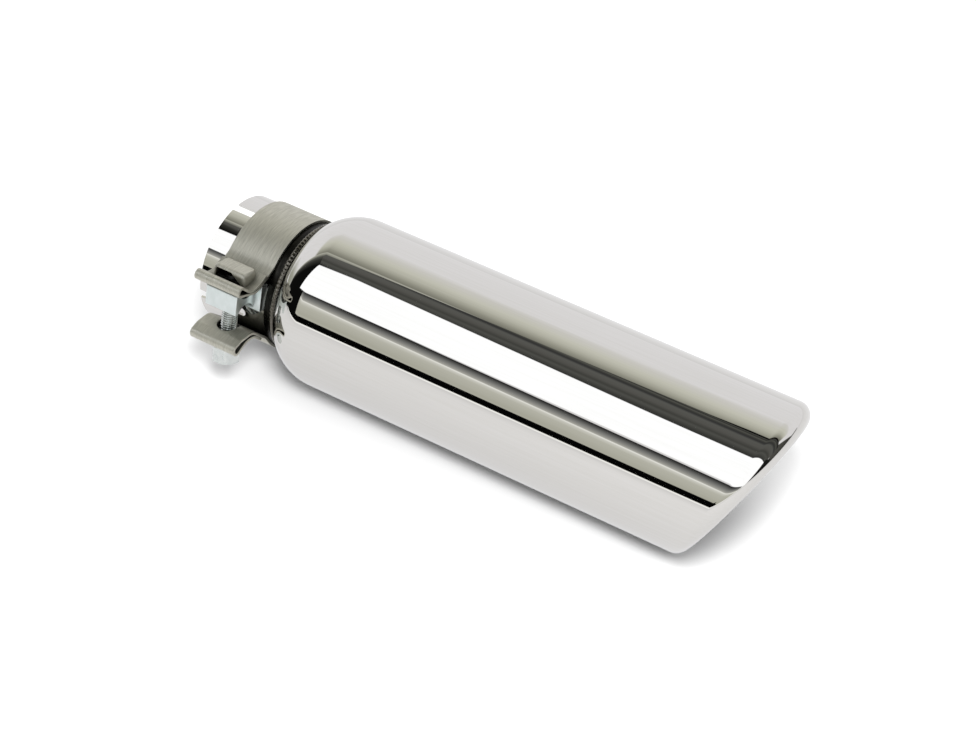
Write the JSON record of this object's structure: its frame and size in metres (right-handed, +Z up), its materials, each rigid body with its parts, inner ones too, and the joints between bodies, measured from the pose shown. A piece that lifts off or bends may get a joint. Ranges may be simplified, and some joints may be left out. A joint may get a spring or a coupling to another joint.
{
  "type": "exhaust tip",
  "caption": "Round polished exhaust tip with a domed inlet end, a slanted rolled-in lip and a slotted inlet sleeve under a band clamp with block and bolt.",
  "frame": {"origin": "centre of the inlet sleeve's mouth, on the tube's axis", "axes": "+X along the tube from the inlet to the outlet, +Z up on the side where the slanted lip is longest"},
  "size_m": [0.3162, 0.1021, 0.0888],
  "materials": {
    "polished_shell": "mirror-polished stainless steel",
    "polished_sleeve": "polished stainless steel",
    "strap_steel": "rolled stainless strap with fine scratches",
    "zinc_plate": "clear zinc plate",
    "zinc_bolt": "clear zinc plate",
    "nut_steel": "plain steel"
  },
  "bodies": {
    "root": {"tip_shell": "polished_shell", "inlet_sleeve": "polished_sleeve", "clamp_band": "strap_steel", "reaction_block": "zinc_plate", "clamp_bolt": "zinc_bolt", "clamp_nut": "nut_steel", "saddle_washer": "zinc_plate"}
  },
  "joints": []
}
